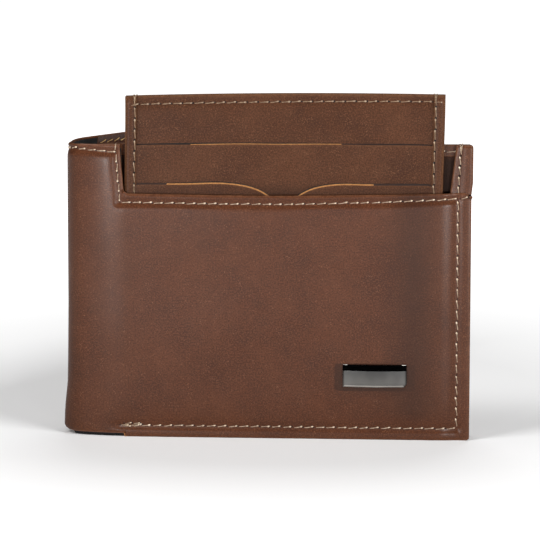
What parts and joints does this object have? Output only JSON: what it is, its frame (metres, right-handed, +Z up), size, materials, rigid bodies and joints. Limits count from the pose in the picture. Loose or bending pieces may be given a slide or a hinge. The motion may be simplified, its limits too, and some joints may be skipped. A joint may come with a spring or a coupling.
{
  "type": "bifold wallet",
  "caption": "Leather bifold wallet standing part open, with an outside pocket for a slip-out card holder, inner card slots, note compartment and a blank metal nameplate.",
  "frame": {"origin": "on the surface the wallet stands on, under the middle of its bounding box as stored, part open", "axes": "+X along the front half from the spine to the free edge, +Y from the front half's outer face towards the rear half, +Z up, along the fold"},
  "size_m": [0.1217, 0.1204, 0.1035],
  "materials": {
    "outer_leather": "smooth, softly waxed brown leather",
    "holder_leather": "smooth brown leather with raw tan cut edges",
    "inner_leather": "thin smooth brown leather",
    "lining_cloth": "matt black woven lining",
    "thread": "pale waxed thread",
    "gunmetal": "satin gunmetal with a dark upper bevel"
  },
  "bodies": {
    "front_half": {"front_pocket_panel": "outer_leather", "column_top_hem": "outer_leather", "front_fold_lining": "lining_cloth", "front_bottom_hem": "outer_leather", "pocket_left_welt": "inner_leather", "pocket_bottom_welt": "inner_leather", "pocket_side_facing": "outer_leather", "pocket_lining": "lining_cloth", "pocket_back_panel": "outer_leather", "pocket_back_hem": "outer_leather", "front_note_lining": "lining_cloth", "front_wing": "inner_leather", "front_card_slot_1": "inner_leather", "front_card_slot_2": "inner_leather", "front_card_slot_3": "inner_leather", "nameplate": "gunmetal", "nameplate_prongs": "gunmetal", "mouth_stitching": "thread", "front_side_stitching": "thread", "front_bottom_stitching": "thread", "front_wing_stitching": "thread"},
    "spine": {"spine_leather": "outer_leather", "spine_lining": "lining_cloth", "spine_stitching": "thread"},
    "rear_half": {"rear_outer_panel": "outer_leather", "rear_top_hem": "outer_leather", "rear_bottom_hem": "outer_leather", "rear_note_lining": "lining_cloth", "rear_wing": "inner_leather", "rear_card_slot_1": "inner_leather", "rear_card_slot_2": "inner_leather", "rear_card_slot_3": "inner_leather", "rear_hem_stitching": "thread", "rear_edge_stitching": "thread", "rear_wing_stitching": "thread"},
    "card_holder": {"holder_back_panel": "holder_leather", "holder_lining": "lining_cloth", "holder_top_panel": "holder_leather", "holder_upper_slot": "holder_leather", "holder_lower_slot": "holder_leather", "holder_left_binding": "holder_leather", "holder_right_binding": "holder_leather", "holder_stitching": "thread"}
  },
  "joints": [
    {"name": "front_fold", "type": "hinge", "parent": "front_half", "child": "spine", "pos_m": [-0.05943, -0.05718, 0], "axis": [0, 0, 1], "range_deg": [0, 90]},
    {"name": "rear_fold", "type": "hinge", "parent": "spine", "child": "rear_half", "pos_m": [-0.05943, -0.04131, 0], "axis": [0, 0, 1], "range_deg": [-57, 33]},
    {"name": "holder_slide", "type": "slide", "parent": "front_half", "child": "card_holder", "axis": [0, 0, 1], "range_m": [-0.02, 0.06]}
  ]
}
